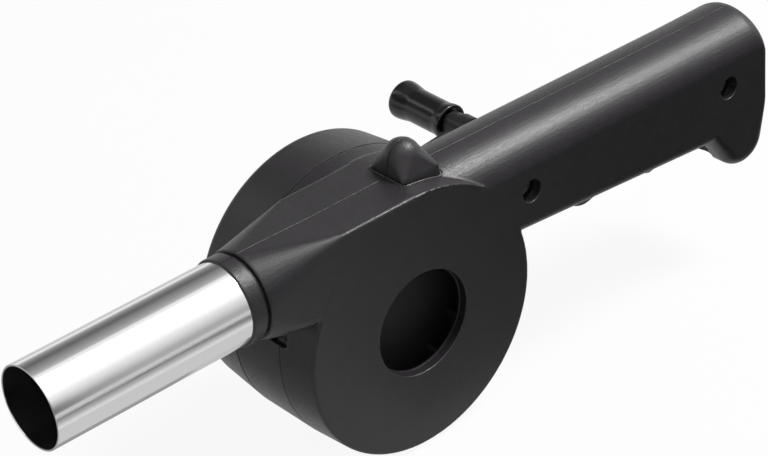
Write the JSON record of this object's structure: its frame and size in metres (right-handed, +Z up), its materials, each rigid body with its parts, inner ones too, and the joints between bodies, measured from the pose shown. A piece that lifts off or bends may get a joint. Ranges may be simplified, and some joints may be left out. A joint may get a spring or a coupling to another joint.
{
  "type": "manual barbecue blower",
  "caption": "Hand-cranked barbecue blower: a round drum with a side air inlet, a steel nozzle tube, a pistol handle with a thumb rest, and a geared crank with a turning knob.",
  "frame": {"origin": "centre of the air inlet on the intake face of the drum, on the fan's axis", "axes": "+X along the handle away from the nozzle, +Y into the drum towards the crank along the fan's axis, +Z up towards the duct and the thumb rest"},
  "size_m": [0.2676, 0.0859, 0.094],
  "materials": {
    "shell_plastic": "fine spark-eroded texture, satin",
    "knob_plastic": "glossy black",
    "fan_plastic": "satin moulded",
    "gear_plastic": "natural acetal, satin",
    "polished_stainless": "polished stainless",
    "plated_steel": "bright zinc plated",
    "sintered_bronze": "sintered, matt"
  },
  "bodies": {
    "housing": {"intake_shell": "shell_plastic", "gear_shell": "shell_plastic", "rear_cover": "shell_plastic", "nozzle_tube": "polished_stainless", "handle_screws": "plated_steel", "body_screws": "plated_steel", "cover_screws": "plated_steel", "fan_bush": "sintered_bronze", "crank_bush": "sintered_bronze", "idler_axle": "plated_steel", "idler_washers": "plated_steel"},
    "crank": {"crank_shaft": "plated_steel", "crank_gear": "gear_plastic", "shaft_clip": "plated_steel", "crank_arm": "shell_plastic", "crank_washer": "plated_steel", "crank_screw": "plated_steel", "knob_pin": "plated_steel"},
    "knob": {"knob": "knob_plastic"},
    "idler": {"idler_gear": "gear_plastic"},
    "fan": {"impeller": "fan_plastic", "fan_shaft": "plated_steel", "fan_pinion": "gear_plastic", "fan_washers": "plated_steel"}
  },
  "joints": [
    {"name": "crank_turn", "type": "hinge", "parent": "housing", "child": "crank", "pos_m": [0, 0.048, 0], "axis": [0, -1, 0], "continuous": true},
    {"name": "idler_spin", "type": "hinge", "parent": "housing", "child": "idler", "pos_m": [-0.00845, 0.0336, 0.01813], "axis": [0, -1, 0], "continuous": true},
    {"name": "fan_spin", "type": "hinge", "parent": "housing", "child": "fan", "pos_m": [0, 0.0264, 0], "axis": [0, -1, 0], "continuous": true},
    {"name": "knob_spin", "type": "hinge", "parent": "crank", "child": "knob", "pos_m": [0.06958, 0.0744, 0.01003], "axis": [0, -1, 0], "continuous": true}
  ],
  "couplings": [
    {"joint": "idler_spin", "follows": "crank_turn", "ratio": -3.75},
    {"joint": "fan_spin", "follows": "crank_turn", "ratio": 14.062}
  ]
}
